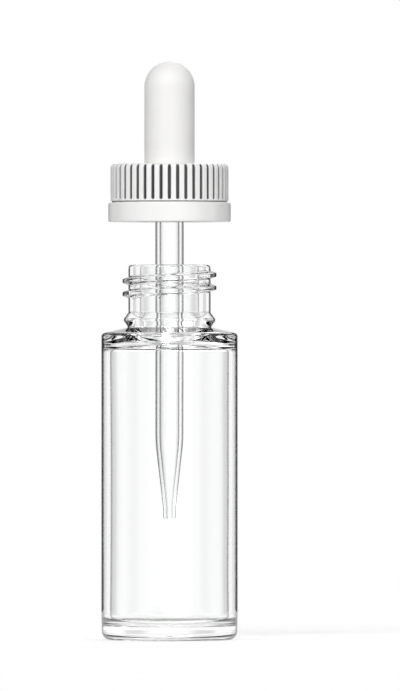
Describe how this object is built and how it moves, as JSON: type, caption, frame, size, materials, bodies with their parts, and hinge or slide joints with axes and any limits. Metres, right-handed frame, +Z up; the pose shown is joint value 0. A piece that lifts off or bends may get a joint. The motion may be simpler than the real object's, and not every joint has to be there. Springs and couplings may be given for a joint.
{
  "type": "dropper bottle",
  "caption": "Round clear glass bottle with a screw neck and a dropper lifted part-way out: ribbed screw cap, domed rubber bulb, glass pipette and sealing washer.",
  "frame": {"origin": "centre of the base, on the surface the bottle stands on", "axes": "+Z up along the common axis of the bottle and the dropper; +X is where the top end of the neck's thread lies"},
  "size_m": [0.0288, 0.0288, 0.1229],
  "materials": {
    "bottle_glass": "clear flint glass, fire-polished",
    "cap_plastic": "white moulded plastic, satin to gloss",
    "bulb_rubber": "white rubber, matt",
    "pipette_glass": "clear drawn glass tube",
    "washer_plastic": "natural polyethylene"
  },
  "bodies": {
    "bottle": {"bottle": "bottle_glass"},
    "dropper": {"pipette": "pipette_glass", "sealing_washer": "washer_plastic"},
    "cap": {"cap": "cap_plastic"},
    "bulb": {"bulb": "bulb_rubber"}
  },
  "joints": [
    {"name": "dropper_lift", "type": "slide", "parent": "bottle", "child": "dropper", "axis": [0, 0, 1], "range_m": [-0.018, 0.06]},
    {"name": "cap_turn", "type": "hinge", "parent": "dropper", "child": "cap", "pos_m": [0, 0, 0.095], "axis": [0, 0, 1], "range_deg": [-720, 0]},
    {"name": "bulb_squeeze", "type": "slide", "parent": "dropper", "child": "bulb", "axis": [0, 0, -1], "range_m": [0, 0.005], "stiffness_N_per_m": 600, "deforming": ["bulb"]}
  ]
}
